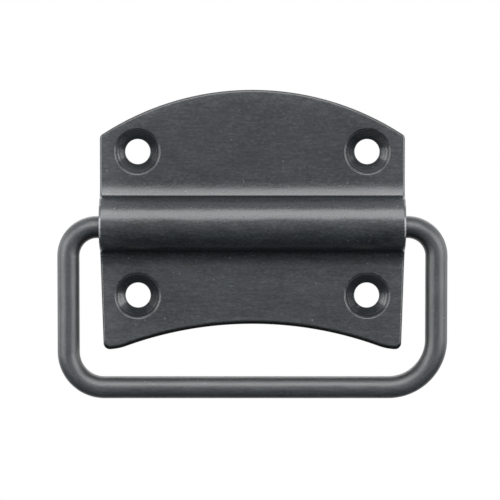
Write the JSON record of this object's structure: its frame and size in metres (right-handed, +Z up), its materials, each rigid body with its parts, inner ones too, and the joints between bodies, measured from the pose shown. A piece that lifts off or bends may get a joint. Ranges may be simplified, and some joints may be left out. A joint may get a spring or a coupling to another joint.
{
  "type": "trunk handle",
  "caption": "Surface-mount trunk handle: an arched pressed plate with countersunk screw holes and a half-round bead in which a bent round-bar bail swings.",
  "frame": {"origin": "middle of the four screw holes, on the plane of the plate's back", "axes": "+X to the right along the bead, +Y back into the wall that the plate is screwed to, +Z up; the bail hangs down"},
  "size_m": [0.0854, 0.0078, 0.0676],
  "materials": {
    "plate_paint": "thin satin black paint over pressed steel sheet",
    "bail_paint": "thin satin black paint over bent steel bar"
  },
  "bodies": {
    "plate": {"back_plate": "plate_paint"},
    "bail": {"bail": "bail_paint"}
  },
  "joints": [
    {"name": "bail_swing", "type": "hinge", "parent": "plate", "child": "bail", "pos_m": [0, -0.00258, -0.0007], "axis": [-1, 0, 0], "range_deg": [0, 180]}
  ]
}
